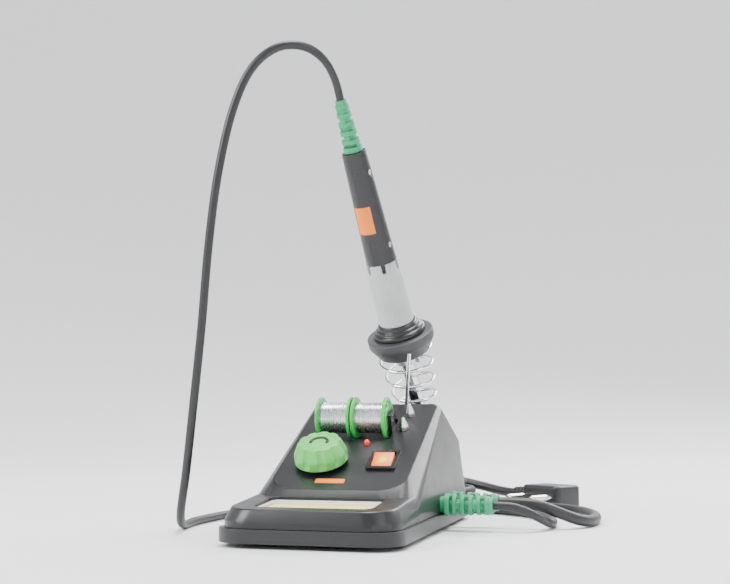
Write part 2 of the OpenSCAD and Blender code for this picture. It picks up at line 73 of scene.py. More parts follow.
# The panel and the deck in millimetres, for the housing, and in metres.
FLAT_PANEL = shift(0, -1, 44) @ turn(26, "X")
FLAT_DECK = shift(0, -65, 17.6) @ turn(4, "X")
PANEL, DECK = MM @ FLAT_PANEL, MM @ FLAT_DECK
HOLDER = place((13, 40, 104), (-14.3, "Z"), (29, "X"))
KNOB_AT, SWITCH_AT, SPOOLS_AT = (-13, -21), (18.5, -18.5), (-5, 17)
SPOOL_LIFT, SPOOL_W = 6.5, 18.6
HALF_W = 44


def on_panel(u, v, w):
    """A place across, up and out of the panel."""
    return PANEL @ shift(u, v, w)


def on_holder(along):
    """A place on the holder's and the iron's axis, upward from the holder's rim."""
    return HOLDER @ shift(0, 0, along)


def add_object(name, data):
    obj = bpy.data.objects.new(name, data)
    bpy.context.scene.collection.objects.link(obj)
    return obj


# ---------------------------------------------------------------- camera and lights
def look(obj, target):
    way = Vector(target) - obj.location
    obj.rotation_euler = way.to_track_quat("-Z", "Y").to_euler()


camera = add_object("camera", bpy.data.cameras.new("camera"))
bpy.context.scene.camera = camera
camera.location = (0.165, -0.592, 0.062)
camera.data.lens = 58
camera.data.sensor_width = 36
camera.data.clip_start = 0.01
look(camera, (0.004, 0.0, 0.123))


def area_light(name, at, target, size, power):
    """A rectangular light; power is in watts and size in metres."""
    lamp = bpy.data.lights.new(name, "AREA")
    lamp.shape = "RECTANGLE"
    lamp.size, lamp.size_y = size
    lamp.energy = power
    obj = add_object(name, lamp)
    obj.location = at
    look(obj, target)


LIT_POINT = (0, 0, 0.08)
area_light("key", (-0.75, -0.65, 0.75), LIT_POINT, (0.5, 0.6), 17)
area_light("fill", (1.15, -0.6, 1.0), LIT_POINT, (0.5, 0.6), 9)
area_light("rim", (0.4, 0.8, 0.7), LIT_POINT, (0.9, 0.35), 13)
area_light("top", (0.0, 0.15, 1.15), (0, 0, 0), (0.8, 0.8), 8)

# A globe high over the middle lights the backdrop evenly all the way round.
globe = bpy.data.lights.new("globe", "POINT")
globe.shadow_soft_size = 0.45
globe.energy = 240
add_object("globe", globe).location = (0.0, 0.1, 2.4)

world = bpy.data.worlds.new("studio")
bpy.context.scene.world = world
world.use_nodes = True
sky = world.node_tree.nodes["Background"].inputs
sky["Color"].default_value = (0.93, 0.95, 1.0, 1)
sky["Strength"].default_value = 0.36


# ---------------------------------------------------------------- materials
def tone(colour, k):
    return tuple(min(1.0, c * k) for c in colour)


class Shader:
    """A Principled material with a few short ways to add nodes."""

    def __init__(self, name):
        self.mat = bpy.data.materials.new(name)
        self.mat.use_nodes = True
        self.tree = self.mat.node_tree
        self.bsdf = self.tree.nodes["Principled BSDF"]
        self.coords = self.node("ShaderNodeTexCoord").outputs["Object"]

    def node(self, kind, **settings):
        made = self.tree.nodes.new(kind)
        for key, value in settings.items():
            setattr(made, key, value)
        return made

    def link(self, out, into):
        self.tree.links.new(out, into)

    def noise(self, scale, detail=3.0, stretch=None):
        """Noise in object coordinates; a larger scale is a finer grain."""
        source = self.coords
        if stretch:
            mapping = self.node("ShaderNodeMapping")
            mapping.inputs["Scale"].default_value = stretch
            self.link(source, mapping.inputs["Vector"])
            source = mapping.outputs["Vector"]
        made = self.node("ShaderNodeTexNoise")
        made.inputs["Scale"].default_value = scale
        made.inputs["Detail"].default_value = detail
        self.link(source, made.inputs["Vector"])
        return made.outputs["Fac"]

    def ramp(self, fac, stops):
        """A colour for each value of fac, from (position, colour) stops."""
        made = self.node("ShaderNodeValToRGB")
        ramp = made.color_ramp
        while len(ramp.elements) < len(stops):
            ramp.elements.new(0.5)
        for element, (at, colour) in zip(ramp.elements, stops):
            element.position = at
            element.color = (*colour, 1)
        self.link(fac, made.inputs["Fac"])
        return made.outputs["Color"]

    def spread(self, fac, low, high):
        """Maps the middle of a noise's range to low..high."""
        made = self.node("ShaderNodeMapRange")
        made.inputs["From Min"].default_value = 0.3
        made.inputs["From Max"].default_value = 0.7
        made.inputs["To Min"].default_value = low
        made.inputs["To Max"].default_value = high
        self.link(fac, made.inputs["Value"])
        return made.outputs["Result"]

    def bump(self, height, strength, distance):
        made = self.node("ShaderNodeBump")
        made.inputs["Strength"].default_value = strength
        made.inputs["Distance"].default_value = distance
        self.link(height, made.inputs["Height"])
        self.link(made.outputs["Normal"], self.bsdf.inputs["Normal"])

    def colour(self, out, lit=False):
        self.link(out, self.bsdf.inputs["Base Color"])
        if lit:
            self.link(out, self.bsdf.inputs["Emission Color"])

    def mottled(self, scale, colour, vary):
        """The colour, a little darker and lighter from place to place."""
        self.colour(self.ramp(self.noise(scale, 4.0), [(0.3, tone(colour, 1 - vary)),
                                                       (0.7, tone(colour, 1 + vary))]))

    def roughness(self, fac, low, high):
        self.link(self.spread(fac, low, high), self.bsdf.inputs["Roughness"])

    def scaled_distance(self, centre, factor):
        """How far a point is from centre, in metres, times factor."""
        mapping = self.node("ShaderNodeMapping")
        mapping.inputs["Location"].default_value = [-c for c in centre]
        self.link(self.coords, mapping.inputs["Vector"])
        length = self.node("ShaderNodeVectorMath", operation="LENGTH")
        self.link(mapping.outputs["Vector"], length.inputs[0])
        scaled = self.node("ShaderNodeMath", operation="MULTIPLY")
        scaled.inputs[1].default_value = factor
        self.link(length.outputs["Value"], scaled.inputs[0])
        return scaled.outputs[0]

    def set(self, **values):
        for key, value in values.items():
            self.bsdf.inputs[key.replace("_", " ")].default_value = value
        return self


def plastic(name, colour, rough, grain=1400, depth=0.12, vary=0.12, **sockets):
    """Moulded plastic or paint with a fine grain; depth is the strength of its bump."""
    s = Shader(name).set(**sockets)
    s.mottled(45, colour, vary)
    s.roughness(s.noise(70, 2.0), rough - 0.02, rough + 0.03)
    s.bump(s.noise(grain, 2.0), depth, 0.0002)
    return s.mat


def metal(name, colour, rough, stretch=(1, 1, 14), vary=0.08, depth=0.05):
    """Bare metal with fine streaks, drawn out by stretch."""
    s = Shader(name).set(Metallic=1.0)
    s.mottled(60, colour, vary)
    streaks = s.noise(900, 3.0, stretch)
    s.roughness(streaks, rough - 0.05, rough + 0.08)
    s.bump(streaks, depth, 0.0001)
    return s.mat


def glowing_rocker():
    """Translucent orange plastic with a lamp behind it: a hot spot that fades to red."""
    s = Shader("rocker_orange").set(Roughness=0.36, Emission_Strength=0.3)
    hot = on_panel(SWITCH_AT[0], SWITCH_AT[1] - 1.5, 1.5).translation
    wobble = s.node("ShaderNodeMath", operation="MULTIPLY_ADD")
    wobble.inputs[1].default_value = 0.35
    s.link(s.noise(420), wobble.inputs[0])
    s.link(s.scaled_distance(hot, 120.0), wobble.inputs[2])
    s.colour(s.ramp(wobble.outputs[0], [(0.3, (1.0, 0.62, 0.04)), (0.5, (1.0, 0.27, 0.006)),
                                        (0.98, (0.8, 0.07, 0.002))]), lit=True)
    return s.mat


def heated_barrel():
    """Polished steel that heat has tinted brown and straw near the tip."""
    s = Shader("barrel_steel").set(Metallic=1.0)
    far = s.scaled_distance(on_holder(-74).translation, 14.0)
    s.colour(s.ramp(far, [(0.05, (0.42, 0.24, 0.16)), (0.16, (0.72, 0.55, 0.33)),
                          (0.26, (0.74, 0.7, 0.62)), (0.5, (0.78, 0.78, 0.8))]))
    streaks = s.noise(700, 3.0, (6, 6, 1))
    s.roughness(streaks, 0.1, 0.24)
    s.bump(streaks, 0.04, 0.0001)
    return s.mat


def sponge_mat():
    """Cellulose sponge: a pale yellow ground, with pores painted darker as shade in their dents.
    """
    s = Shader("sponge_yellow").set(Roughness=0.95, Sheen_Weight=0.3)
    pores = s.node("ShaderNodeTexVoronoi")
    pores.inputs["Scale"].default_value = 900
    s.link(s.coords, pores.inputs["Vector"])
    depth = pores.outputs["Distance"]
    # Painted shade: the colour turns dark brown where the pores dip, standing in for shade
    # inside them; the bump below dents the same places.
    s.colour(s.ramp(depth, [(0.05, (0.42, 0.27, 0.02)), (0.35, (0.9, 0.7, 0.1)),
                            (0.8, (0.98, 0.84, 0.26))]))
    s.bump(depth, 0.8, 0.0006)
    return s.mat


def clear_red():
    """The lens of the indicator light, lit."""
    s = Shader("light_red").set(Roughness=0.12, Coat_Weight=0.6, Emission_Strength=0.5)
    s.colour(s.ramp(s.noise(500), [(0.3, (0.75, 0.02, 0.008)), (0.7, (0.95, 0.06, 0.02))]),
             lit=True)
    return s.mat


# Colour and roughness, then where they aren't the usual ones the grain, its depth and how
# much the colour varies.
PLASTICS = {
    "housing_black": ((0.01, 0.0104, 0.0114), 0.33, 2600, 0.12),
    "cover_black": ((0.009, 0.0093, 0.0102), 0.38, 2200, 0.14),
    "panel_black": ((0.009, 0.0094, 0.0104), 0.3, 2600, 0.08),
    "foot_rubber": ((0.012, 0.012, 0.012), 0.75, 900, 0.25),
    "ballast_steel": ((0.2, 0.21, 0.22), 0.5, 600, 0.3),
    "label_orange": ((0.86, 0.2, 0.004), 0.4, 2600, 0.06, 0.08),
    "switch_black": ((0.012, 0.012, 0.014), 0.2, 1800, 0.05),
    "board_green": ((0.03, 0.2, 0.08), 0.35, 500, 0.2),
    "capacitor_red": ((0.5, 0.06, 0.05), 0.3, 400, 0.1),
    "chip_black": ((0.03, 0.03, 0.03), 0.5),
    "terminal_white": ((0.8, 0.79, 0.72), 0.45),
    "clamp_black": ((0.025, 0.025, 0.028), 0.5),
    "holder_grey": ((0.042, 0.044, 0.047), 0.5, 1500, 0.22, 0.2),
    "relief_green": ((0.02, 0.3, 0.13), 0.5, 900, 0.18),
    "knob_green": ((0.1, 0.52, 0.1), 0.34, 1500, 0.1, 0.14),
    "spool_green": ((0.06, 0.5, 0.1), 0.24, 1300, 0.06, 0.12),
    "tray_white": ((0.8, 0.8, 0.78), 0.25, 1600, 0.05, 0.04),
    "element_ceramic": ((0.8, 0.76, 0.68), 0.8, 700, 0.3),
    "flange_black": ((0.011, 0.011, 0.012), 0.3, 1900, 0.08),
    "grip_grey": ((0.42, 0.44, 0.43), 0.55, 1500, 0.3, 0.1),
    "handle_black": ((0.011, 0.011, 0.0125), 0.27, 2600, 0.05),
    "cord_black": ((0.012, 0.012, 0.0135), 0.42, 1500, 0.12),
    "plug_black": ((0.012, 0.012, 0.0135), 0.4, 1900, 0.14),
    "mark_black": ((0.012, 0.014, 0.012), 0.4),
}
SOCKETS = {
    "knob_green": dict(Coat_Weight=0.2, Coat_Roughness=0.3),
    "spool_green": dict(Subsurface_Weight=0.2, Subsurface_Scale=0.002),
    "grip_grey": dict(Sheen_Weight=0.15),
}
# Colour and roughness, then the streaks' stretch, how much the colour varies, and the bump.
METALS = {
    "screw_steel": ((0.6, 0.6, 0.62), 0.3),
    "sink_aluminium": ((0.75, 0.75, 0.77), 0.35),
    "pot_steel": ((0.55, 0.55, 0.55), 0.32),
    "axle_steel": ((0.7, 0.7, 0.71), 0.2),
    "coil_chrome": ((0.86, 0.86, 0.88), 0.12, (1, 1, 1), 0.05, 0.02),
    "solder_silver": ((0.8, 0.81, 0.84), 0.26, (1, 1, 1), 0.08, 0.06),
    "tip_brass": ((0.9, 0.63, 0.24), 0.24),
    "ferrule_copper": ((0.72, 0.34, 0.17), 0.3),
    "nut_steel": ((0.7, 0.7, 0.72), 0.28),
    "pin_nickel": ((0.8, 0.78, 0.72), 0.18),
    "tip_steel": ((0.8, 0.8, 0.82), 0.18),
}
M = {"light_red": clear_red(),
     "rocker_orange": glowing_rocker(),
     "sponge_yellow": sponge_mat(),
     "barrel_steel": heated_barrel()}
for name, row in PLASTICS.items():
    M[name] = plastic(name, *row, **SOCKETS.get(name, {}))
for name, row in METALS.items():
    M[name] = metal(name, *row)


# ---------------------------------------------------------------- mesh tools
def smooth(mesh, angle=38):
    """Shades a mesh smooth, apart from edges sharper than angle in degrees."""
    mesh.polygons.foreach_set("use_smooth", [True] * len(mesh.polygons))
    mesh.set_sharp_from_angle(angle=math.radians(angle))


def mesh_object(name, points, faces):
    """An object from points and faces, with its faces turned outward."""
    mesh = bpy.data.meshes.new(name)
    mesh.from_pydata(points, [], faces)
    bm = bmesh.new()
    bm.from_mesh(mesh)
    bmesh.ops.recalc_face_normals(bm, faces=bm.faces)
    bm.to_mesh(mesh)
    bm.free()
    return add_object(name, mesh)


def piece(name, shapes, matrix, body, slot, replaces=(), material=None, angle=38):
    """One object from (points, faces) shapes in a piece's own millimetres."""
    points, faces = [], []
    for p, f in shapes:
        faces += [[i + len(points) for i in face] for face in f]
        points += [tuple(q) for q in p]
    obj = mesh_object(name, [matrix @ Vector(p) for p in points], faces)
    smooth(obj.data, angle)
    obj.data.materials.append(M[material or slot])
    if body:
        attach(obj, body)
    if replaces:
        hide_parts(*replaces)
    return obj


def soften(points, radius, closed=False, steps=4):
    """Rounds the corners of a line of points; radius is a number or one number a point."""
    n = len(points)
    radii = [radius] * n if isinstance(radius, (int, float)) else radius
    out = []
    for i, p in enumerate(points):
        if not closed and i in (0, n - 1) or radii[i] <= 0:
            out.append(tuple(p))
            continue
        p = Vector(p)
        a, b = Vector(points[i - 1]) - p, Vector(points[(i + 1) % n]) - p
        r = min(radii[i], a.length * 0.48, b.length * 0.48)
        a, b = p + a.normalized() * r, p + b.normalized() * r
        for k in range(steps + 1):
            t = k / steps
            out.append(tuple(a * (1 - t) ** 2 + p * 2 * t * (1 - t) + b * t * t))
    return out


def skin(rows, m, closed=False):
    """Faces over rows of m points each, joined round, with an end cap unless closed."""
    faces = [[i * m + k, i * m + (k + 1) % m, (i + 1) % rows * m + (k + 1) % m,
              (i + 1) % rows * m + k]
             for i in range(rows if closed else rows - 1) for k in range(m)]
    if not closed:
        faces += [list(range(m))[::-1], [(rows - 1) * m + k for k in range(m)]]
    return faces


def lathe(profile, n=96, closed=False, change=None):
    """Turns (radius, height) points round Z. change(angle, r, z) moves a point."""
    points = []
    for r, z in profile:
        for k in range(n):
            angle = 2 * math.pi * k / n
            rr, zz = change(angle, r, z) if change else (r, z)
            points.append((rr * math.cos(angle), rr * math.sin(angle), zz))
    return points, skin(len(profile), n, closed)


def moved(shape, matrix):
    points, faces = shape
    return [tuple(matrix @ Vector(p)) for p in points], faces


def rounded_outline(w, l, r, n=8):
    """A rectangle of w by l whose corners have radius r, with n steps a corner."""
    out = []
    r = max(r, 0.05)
    for cx, cy, a in ((1, 1, 0), (-1, 1, 90), (-1, -1, 180), (1, -1, 270)):
        for k in range(n + 1):
            t = math.radians(a + 90 * k / n)
            out.append((cx * (w / 2 - r) + r * math.cos(t), cy * (l / 2 - r) + r * math.sin(t)))
    return out


def slab(w, l, r, z0, z1, edge=0.8, n=8, steps=4):
    """A plate with round corners whose rims are rounded as well."""
    rows = []
    for k in range(steps + 1):
        t = math.pi / 2 * k / steps
        rows.append((edge * (1 - math.sin(t)), z0 + edge * (1 - math.cos(t))))
    rows += [(inset, z0 + z1 - z) for inset, z in reversed(rows)]
    points = []
    for inset, z in rows:
        points += [(x, y, z) for x, y in rounded_outline(w - 2 * inset, l - 2 * inset,
                                                         r - inset, n)]
    return points, skin(len(rows), 4 * (n + 1))


def tube(path, radius, sides=12, first=(0, 0, 1), flat=None):
    """A tube along path, its rings turned as little as possible from one to the next.
    flat=(half width, half thickness) makes a strap with that section."""
    path = [Vector(p) for p in path]
    n = len(path)
    points, side = [], Vector(first)
    for k in range(n):
        way = (path[min(k + 1, n - 1)] - path[max(k - 1, 0)]).normalized()
        side = (side - way * side.dot(way)).normalized()
        other = way.cross(side)
        for i in range(sides):
            t = 2 * math.pi * (i + 0.5) / sides
            c, s = math.cos(t), math.sin(t)
            if flat:
                p = (abs(c) ** 0.4 * math.copysign(flat[0], c),
                     abs(s) ** 0.4 * math.copysign(flat[1], s))
            else:
                p = c * radius, s * radius
            points.append(tuple(path[k] + side * p[0] + other * p[1]))
    return points, skin(n, sides)


def curve_through(points, step):
    """A smooth line through the points, with a point about every step."""
    p = [Vector(q) for q in points]
    out = []
    for i in range(len(p) - 1):
        a, b, c, d = p[max(i - 1, 0)], p[i], p[i + 1], p[min(i + 2, len(p) - 1)]
        n = max(1, round((c - b).length / step))
        for k in range(n):
            t = k / n
            out.append(0.5 * (2 * b + (c - a) * t + (2 * a - 5 * b + 4 * c - d) * t * t
                              + (3 * b - a - 3 * c + d) * t ** 3))
    return out + [p[-1]]


# ---------------------------------------------------------------- cords
LEAD_R, MAINS_R = 2.2, 3.0
LEAD_EXIT_Y, MAINS_EXIT_Y, EXIT_Z = 10, 29, 13
IRON_ROUTE = [(-3, -22.6, 220.6), (-4.3, -27.6, 229.9), (-8, -35, 238.5), (-16, -43.5, 243.5),
              (-28, -50, 242), (-40, -54, 231), (-49, -56, 210), (-56, -57, 178),
              (-61, -56, 142), (-65, -54, 102), (-70, -51, 64), (-76, -45, 31),
              (-83, -35, 9.8), (-88, -20, 2.4), (-91, 2, 2.2), (-90, 38, 2.2),
              (-83, 74, 2.2), (-63, 100, 2.2), (-31, 114, 2.2), (8, 118, 2.2),
              (48, 112, 2.2), (76, 93, 2.2), (91, 66, 2.2), (95.5, 44, 2.2), (95.2, 30, 3),
              (92, 19, 6), (85, 12.4, 10.4), (77, 10.2, 12.7), (69.1, 10, 13)]
MAINS_ROUTE = [(69.1, 29, 13), (79, 29, 13), (89, 29.6, 12), (99, 32, 8.6), (108, 38, 4.8),
               (114, 48, 3.1), (116, 64, 3), (113, 86, 3), (102, 110, 3), (80, 129, 3),
               (52, 136, 3), (22, 137.6, 3), (-8, 138, 3)]
COIL_MID, COIL_TURNS = (-8, 174), 5.5
# Where each turn of the coil runs, as its radius and its height.
COIL_SLOTS = [(36, 3), (30, 3), (30, 9), (36, 9), (30, 15), (36, 15)]
TAIL_ROUTE = [(-8, 210, 15), (12, 209.2, 13.6), (30, 204.6, 10.4), (44.5, 197, 7.8),
              (55.2, 189.2, 7)]
PLUG = place((66, 182, 7), (-34, "Z"))


def coil_line():
    """Turns that lie beside and on each other, clockwise from the front of the coil."""
    steps, step_over, out = 48, 0.16, []
    for k in range(int(COIL_TURNS * steps) + 1):
        lap, part = divmod(k, steps)
        part /= steps
        # The last part of a turn eases over to the next slot.
        t = max(0.0, (part - (1 - step_over)) / step_over)
        t = t * t * (3 - 2 * t)
        a, b = COIL_SLOTS[lap], COIL_SLOTS[min(lap + 1, len(COIL_SLOTS) - 1)]
        r, z = a[0] + (b[0] - a[0]) * t, a[1] + (b[1] - a[1]) * t
        angle = math.radians(-90 - 360 * (lap + part))
        out.append(Vector((COIL_MID[0] + r * math.cos(angle),
                           COIL_MID[1] + r * math.sin(angle), z)))
    return out


iron_line = curve_through(IRON_ROUTE, 3.5)
mains_line = (curve_through(MAINS_ROUTE, 4)[:-1] + coil_line()[:-1]
              + curve_through(TAIL_ROUTE, 4))
iron_lead = piece("iron_cord", [tube(iron_line, LEAD_R)], MM, None, "cord_black", ["iron_lead"])
mains_lead = piece("mains_cord", [tube(mains_line, MAINS_R, 14)], MM, "base", "cord_black",
                   ["mains_lead", "mains_coil"])
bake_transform(iron_lead)


def ringed_relief(name, matrix, length, r1, r2, core, body, replaces, neck=0.0):
    """A strain relief: rings on a thin core, joined by ribs that change side from gap to gap.
    It tapers from r1 to r2, and neck is how far its stem goes into the housing."""
    shapes = [lathe(soften([(core, -neck), (core + 0.7, -neck), (core + 0.7, length - 0.2),
                            (core, length - 0.2)], 0.2, True, 2), 40, True)]
    gaps = 6
    pitch = length / gaps
    thick = pitch * 0.52

    def outer(z):
        return r1 + (r2 - r1) * z / length

    for i in range(gaps):
        z = i * pitch
        wide = thick if i else thick * 1.25
        shapes.append(lathe(soften([(core, z), (outer(z), z), (outer(z + wide), z + wide),
                                    (core, z + wide)], 0.45, True, 3), 48, True))
        if i == gaps - 1:
            continue
        rib = outer(z + pitch) - core - 0.5
        for side in (0, 180):
            box = slab(rib, 3.4, 0.5, 0, pitch - thick + 0.8, 0.2, 3, 2)
            at = turn(side + 90 * (i % 2), "Z") @ shift(core + rib / 2, 0, z + thick - 0.4)
            shapes.append(moved(box, at))
    z = (gaps - 1) * pitch
    shapes.append(lathe(soften([(core, z), (outer(z) - 0.4, z), (outer(length) - 0.5, length),
                                (core, length)], 0.5, True, 3), 40, True))
    if neck:
        shapes.append(lathe(soften([(core, -1.95), (4.5, -1.95), (4.5, 0), (core, 0)], 0.3,
                                   True, 2), 48, True))
        shapes.append(lathe([(core, -neck), (4.1, -neck), (4.1, -1.9), (core, -1.9)], 40, True))
    return piece(name, shapes, matrix, body, "relief_green", replaces)


def base_relief(name, y, core, replaces):
    """A strain relief on the housing's right side."""
    at = place((HALF_W, y, EXIT_Z), (90, "Y"))
    return ringed_relief(name, at, 25, 5.7, 4.7, core, "base", replaces, 4.9)


mains_relief = base_relief("mains_strain_relief", MAINS_EXIT_Y, MAINS_R, ["mains_relief"])
lead_relief = base_relief("lead_strain_relief", LEAD_EXIT_Y, LEAD_R, ["lead_relief"])


def plug_shape():
    """A round-cornered block with a ringed neck where the lead goes in."""
    body = moved(slab(30, 24, 4, -7, 7, 2.2, 8, 5), shift(18, -1, 0))
    shapes = [body]
    neck = soften([(3.1, -13), (4.0, -13), (5.2, 4), (3.1, 4)], 0.6, True, 3)
    shapes.append(moved(lathe(neck, 48, True), turn(90, "Y")))
    for i in range(4):
        ring = soften([(3.1, 0), (4.35 + i * 0.22, 0), (4.45 + i * 0.22, 1.5), (3.1, 1.5)], 0.3,
                      True, 2)
        shapes.append(moved(lathe(ring, 48, True), turn(90, "Y") @ shift(0, 0, -11.6 + i * 3)))
    return shapes


plug = piece("plug_moulding", plug_shape(), PLUG, "base", "plug_black", ["plug_body"])


def tie_shape():
    """A strap over the coil, its ends tucked under on both sides."""
    line = soften([(26.5, 0, 0.5), (26.5, 0, 18.5), (39.5, 0, 18.5), (39.5, 0, 0.5)], 2.2,
                  False, 6)
    strap = tube(line, 1, 16, (0, 1, 0), (3.2, 0.42))
    return [strap, moved(slab(5.4, 7.6, 0.8, 0, 0.9, 0.3, 4, 2), shift(34, 0, 18.05))]


cord_tie = piece("cord_strap", tie_shape(), place((COIL_MID[0], COIL_MID[1], 0), (200, "Z")),
                 "base", "clamp_black", ["cord_tie"])


# ---------------------------------------------------------------- controls
def knob_shape():
    """A skirted knob with ten flutes and a shallow dish on top."""
    def flute(angle, r, z):
        if r < 8.6 or z < 0.7:
            return r, z
        wave = max(0.0, math.cos(10 * angle)) ** 0.7
        return r - wave * 1.05 * min(1.0, (z - 0.7) / 1.4), z

    profile = [(6.4, 2.4), (6.4, 0.0), (13.2, 0.0), (13.5, 0.7), (13.5, 4.6), (10.6, 10.7),
               (9.2, 10.7), (8.6, 10.2), (0.02, 10.2)]
    return [lathe(soften(profile, [0, 0.2, 0.3, 0.3, 0.9, 0.9, 0.4, 0.4, 0]), 240,
                  change=flute)]


piece("knob_cap", knob_shape(), on_panel(*KNOB_AT, 1.8), "dial", "knob_green",
      ["temperature_knob"])


def arc(radius, start, stop, n=28):
    """Points on a circle from one angle to another, in degrees."""
    return [(radius * math.cos(math.radians(start + (stop - start) * k / n)),
             radius * math.sin(math.radians(start + (stop - start) * k / n)), 0)
            for k in range(n + 1)]


piece("knob_mark", [tube(arc(4.3, -15, 195), 0.8, 12)], on_panel(*KNOB_AT, 12.0), "dial",
      "knob_green", material="mark_black")


def spool_shape():
    """A reel with six ribs on the outside of each flange."""
    w = SPOOL_W / 2
    half = [(4.5, 0), (4.5, w - 1.8), (10.2, w - 1.8), (11, w - 1.5), (11, w - 0.3),
            (10.2, w), (8.9, w), (8.5, w - 0.5), (6.0, w - 0.5), (5.5, w), (2.06, w)]
    profile = half[1:] + [(r, -z) for r, z in reversed(half[1:])]
    body = lathe(soften(profile, 0.3, True, 3), 96, True)
    ribs = [moved(slab(2.6, 1.1, 0.3, 0, 0.5, 0.15, 2, 2),
                  turn(60 * k, "Z") @ shift(7.2, 0, side * (w - 0.25) - 0.25))
            for k in range(6) for side in (1, -1)]
    return [body] + ribs


def winding_shape(phase):
    """The top layer of solder as one wavering helix, over a plain core."""
    r, wire, per_turn = 7.62, 0.5, 40
    wide = SPOOL_W - 3.6
    run = wide - 2 * wire
    n = int(run / (2 * wire) * per_turn)
    line = []
    for k in range(n + 1):
        a = 2 * math.pi * k / per_turn
        z = -wide / 2 + wire + run * k / n
        waver = 0.05 * math.sin(a * 0.37 + phase) + 0.03 * math.sin(a * 1.7 + 2 * phase)
        line.append(((r + waver) * math.cos(a), (r + waver) * math.sin(a), z))
    core = lathe([(4.55, -7.4), (7.5, -7.4), (7.5, 7.4), (4.55, 7.4)], 48, True)
    return [core, tube(line, wire, 8)]


for number, side, body in ((1, -1, "left_spool"), (2, 1, "right_spool")):
    middle = SPOOLS_AT[0] + side * (SPOOL_W / 2 + 0.25)
    at = on_panel(middle, SPOOLS_AT[1], SPOOL_LIFT) @ turn(90, "Y")
    piece(f"spool_{number}_reel", spool_shape(), at, body, "spool_green", [f"spool_{number}"])
    piece(f"solder_{number}_winding", winding_shape(number), at, body, "solder_silver",
          [f"solder_{number}"])


def prism(outline, half, edge=0.35):
    """An outline in Y and Z drawn out along X, with softened ends."""
    rows = [(-half, 1), (-half + edge * 0.3, 0.3), (-half + edge, 0)]
    rows += [(-x, inset) for x, inset in reversed(rows)]
    middle = [sum(p[i] for p in outline) / len(outline) for i in (0, 1)]
    points = []
    for x, inset in rows:
        for y, z in outline:
            d = Vector((y - middle[0], z - middle[1]))
            d *= 1 - inset * edge / max(d.length, edge)
            points.append((x, middle[0] + d.x, middle[1] + d.y))
    return points, skin(len(rows), len(outline))


rocker_outline = soften([(-5.4, 7.6), (0, 6.9), (5.4, 7.6), (5, 2), (2, -1.6), (-2, -1.6),
                         (-5, 2)], [0.7, 1.6, 0.7, 0.6, 0.6, 0.6, 0.6], True, 5)
piece("rocker_cap", [prism(rocker_outline, 5.1)], on_panel(*SWITCH_AT, -5) @ turn(12, "X"),
      "rocker", "rocker_orange", ["switch_rocker"])


# ---------------------------------------------------------------- sponge
def sponge_shape():
    """A thin block with round corners, a dipping rim and an uneven top."""
    w, l, r, h = 52, 19, 2.4, 5.2
    nx, ny = 72, 28
    points, faces = [], []

    def cell(i, j, level):
        u, v = i / nx * 2 - 1, j / ny * 2 - 1
        x, y = u * w / 2, v * l / 2
        cut = max(0.0, abs(x) - (w / 2 - r)), max(0.0, abs(y) - (l / 2 - r))
        far = math.hypot(*cut)
        if far > r:
            x -= math.copysign(cut[0] * (1 - r / far), x)
            y -= math.copysign(cut[1] * (1 - r / far), y)
        rim = min(1.0, (1 - max(abs(u) ** 8, abs(v) ** 8)) * 3)
        rough = noise.noise(Vector((x, y, level * 7)) * 0.9) * 0.22
        z = h - 0.25 - 0.55 * (1 - rim) + rough * 0.6 if level else 0.0
        pull = 0.985 - 0.01 * noise.noise(Vector((x, y, 3)) * 0.4)
        return x * pull, y * pull, z

    for level in (0, 1):
        for j in range(ny + 1):
            for i in range(nx + 1):
                points.append(cell(i, j, level))
    m = (nx + 1) * (ny + 1)
    for j in range(ny):
        for i in range(nx):
            a = j * (nx + 1) + i
            faces.append([a, a + nx + 1, a + nx + 2, a + 1])
            faces.append([m + a, m + a + 1, m + a + nx + 2, m + a + nx + 1])
    ring = ([j for j in range(nx + 1)] + [(j + 1) * (nx + 1) + nx for j in range(ny)]
            + [ny * (nx + 1) + nx - 1 - j for j in range(nx)]
            + [(ny - 1 - j) * (nx + 1) for j in range(ny - 1)])
    for a, b in zip(ring, ring[1:] + ring[:1]):
        faces.append([a, b, m + b, m + a])
    return [(points, faces)]


sponge = piece("sponge_pad", sponge_shape(), DECK @ shift(0, -3, -5.7), "wiping_sponge",
               "sponge_yellow", ["sponge"], angle=60)

# ---------------------------------------------------------------- housing
HALF_L, PLINTH_Z, SEAM, BEVEL, SHELL = 92, 8.4, 0.2, 2.6, 2.4
PANEL_HALF_W, PANEL_HALF_L, PANEL_FRONT_R, PANEL_BACK_R = 34, 47, 13, 4
# The housing is made in millimetres and scaled at its end.
WELL_AT = (18.75, 67.9, 0)
VENTS, VENT_PITCH = 5, 6.2


def ring(matrix, x, y, r, z, n=88):
    """Points on a circle of radius r round (x, y, z)."""
    return [matrix @ Vector((x + r * math.cos(2 * math.pi * k / n),
                             y + r * math.sin(2 * math.pi * k / n), z)) for k in range(n)]


def hull_object(points):
    """The convex hull of the points, as an object."""
    bm = bmesh.new()
    for p in points:
        bm.verts.new(p)
    bmesh.ops.convex_hull(bm, input=bm.verts)
    bmesh.ops.delete(bm, geom=[v for v in bm.verts if not v.link_faces], context="VERTS")
    bmesh.ops.recalc_face_normals(bm, faces=bm.faces)
    mesh = bpy.data.meshes.new("hull")
    bm.to_mesh(mesh)
    bm.free()
    return add_object("hull", mesh)


def solid_object(shape):
    return mesh_object("solid", *shape)


def combine(base, other, operation):
    """Applies a boolean of other to base and removes other."""
    step = base.modifiers.new("step", "BOOLEAN")
    step.operation, step.solver, step.object = operation, "EXACT", other
    bpy.context.view_layer.update()
    graph = bpy.context.evaluated_depsgraph_get()
    mesh = bpy.data.meshes.new_from_object(base.evaluated_get(graph))
    base.modifiers.clear()
    base.data = mesh
    bpy.data.objects.remove(other)
    return base


def quarter(steps, first=0):
    """Angles from first to a quarter turn, in steps to the quarter."""
    return [math.pi / 2 * k / steps for k in range(first, steps + 1)]


